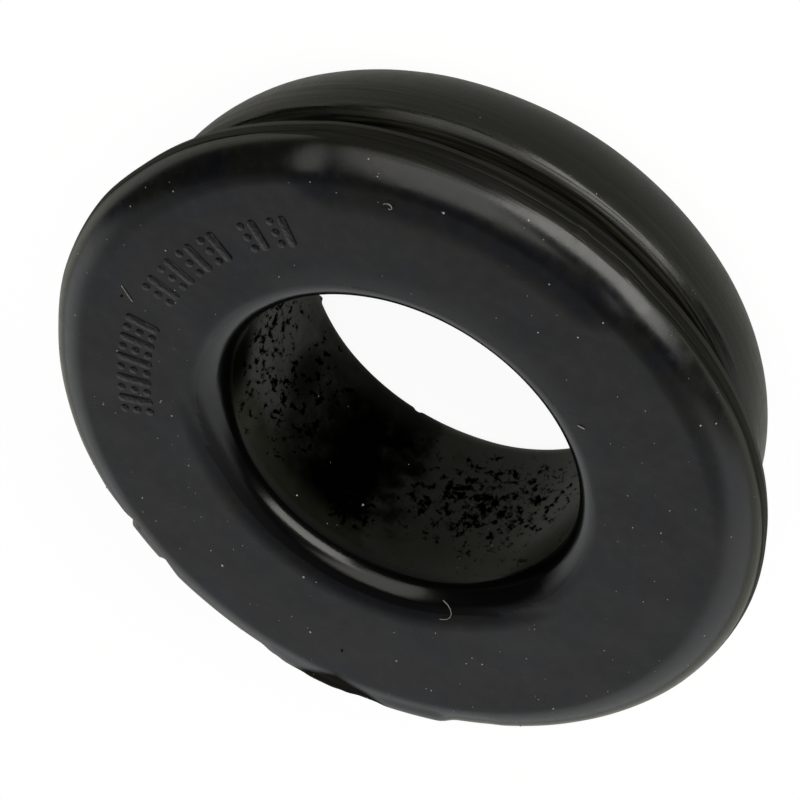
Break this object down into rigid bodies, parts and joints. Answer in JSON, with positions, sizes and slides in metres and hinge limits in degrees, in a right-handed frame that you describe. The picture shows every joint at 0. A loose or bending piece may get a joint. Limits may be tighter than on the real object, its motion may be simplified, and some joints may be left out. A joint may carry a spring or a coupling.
{
  "type": "rubber grommet",
  "caption": "Round moulded rubber grommet with a plain bore, a thin flat flange, a fat domed flange and a panel groove between them.",
  "frame": {"origin": "on the bore's axis at the flat ring of the domed flange that it rests on", "axes": "+Z along the bore, out of the flat face; the torn and cut side of the flat flange is towards -Y"},
  "size_m": [0.038, 0.038, 0.0127],
  "materials": {
    "rubber": "satin moulded black rubber"
  },
  "bodies": {
    "root": {"grommet": "rubber"}
  },
  "joints": []
}
